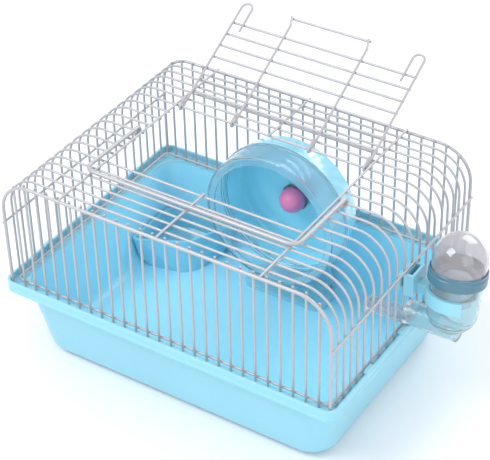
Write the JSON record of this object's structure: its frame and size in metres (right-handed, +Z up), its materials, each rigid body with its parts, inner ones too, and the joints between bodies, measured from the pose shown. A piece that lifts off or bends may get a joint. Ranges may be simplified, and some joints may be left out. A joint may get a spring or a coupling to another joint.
{
  "type": "hamster_cage",
  "caption": "Open wire hamster cage on a pale blue moulded tray, with a roof door, carry handle, running wheel, corner food dish and clip-on water dispenser",
  "frame": {"origin": "middle of the tray's flat underside", "axes": "+X along the long side to the water dispenser, +Y from the front to the back, +Z up"},
  "size_m": [0.3304, 0.2412, 0.2037],
  "materials": {
    "tray_plastic": "smooth pale blue moulding",
    "clear_blue_plastic": "see-through blue moulding",
    "dish_plastic": "see-through deep blue moulding",
    "smoke_plastic": "see-through smoky moulding",
    "band_plastic": "slate blue moulding",
    "pink_plastic": "smooth pink moulding",
    "white_wire": "powder-coated off-white wire",
    "seal_rubber": "white rubber washer"
  },
  "bodies": {
    "tray": {"tray": "tray_plastic", "wheel_base": "tray_plastic", "wheel_stand": "tray_plastic", "wheel_axle": "smoke_plastic", "axle_retainer": "smoke_plastic"},
    "wire_cage": {"front_frame_hoop": "white_wire", "back_frame_hoop": "white_wire", "front_bars": "white_wire", "back_bars": "white_wire", "front_roof_hoops": "white_wire", "rear_roof_hoops": "white_wire", "left_side_hoops": "white_wire", "right_side_hoops": "white_wire", "roof_rails": "white_wire", "centre_rails": "white_wire", "side_stiffeners": "white_wire", "bottom_wire": "white_wire", "feeder_clip": "tray_plastic", "feeder_bar_plate": "tray_plastic", "feeder_arm": "tray_plastic", "feeder_body": "clear_blue_plastic", "feeder_pipe": "clear_blue_plastic", "feeder_outlet": "smoke_plastic", "feeder_trough": "smoke_plastic"},
    "door": {"door_side_rods": "white_wire", "door_middle_rods": "white_wire", "door_cross_wires": "white_wire", "door_latch_bar": "white_wire"},
    "handle": {"carry_handle": "white_wire"},
    "wheel": {"wheel_cup": "clear_blue_plastic", "wheel_front_shell": "clear_blue_plastic", "wheel_hub": "tray_plastic", "hub_collar": "clear_blue_plastic", "hub_cap": "pink_plastic"},
    "dish": {"food_dish": "dish_plastic"},
    "bottle": {"feeder_bottle": "smoke_plastic", "feeder_collar": "band_plastic", "bottle_seal": "seal_rubber"}
  },
  "joints": [
    {"name": "cage_lift", "type": "slide", "parent": "tray", "child": "wire_cage", "axis": [0, 0, 1], "range_m": [0, 0.18]},
    {"name": "door_hinge", "type": "hinge", "parent": "wire_cage", "child": "door", "pos_m": [0, 0.044, 0.1577], "axis": [1, 0, 0], "range_deg": [0, 152]},
    {"name": "handle_swing", "type": "hinge", "parent": "wire_cage", "child": "handle", "pos_m": [0, 0, 0.1577], "axis": [-1, 0, 0], "range_deg": [0, 90]},
    {"name": "wheel_spin", "type": "hinge", "parent": "tray", "child": "wheel", "pos_m": [0.003, 0.08, 0.0865], "axis": [0, 1, 0], "continuous": true},
    {"name": "dish_lift", "type": "slide", "parent": "tray", "child": "dish", "axis": [0, 0, 1], "range_m": [0, 0.06]},
    {"name": "bottle_lift", "type": "slide", "parent": "wire_cage", "child": "bottle", "axis": [0, 0.1736, 0.9848], "range_m": [0, 0.04]}
  ]
}
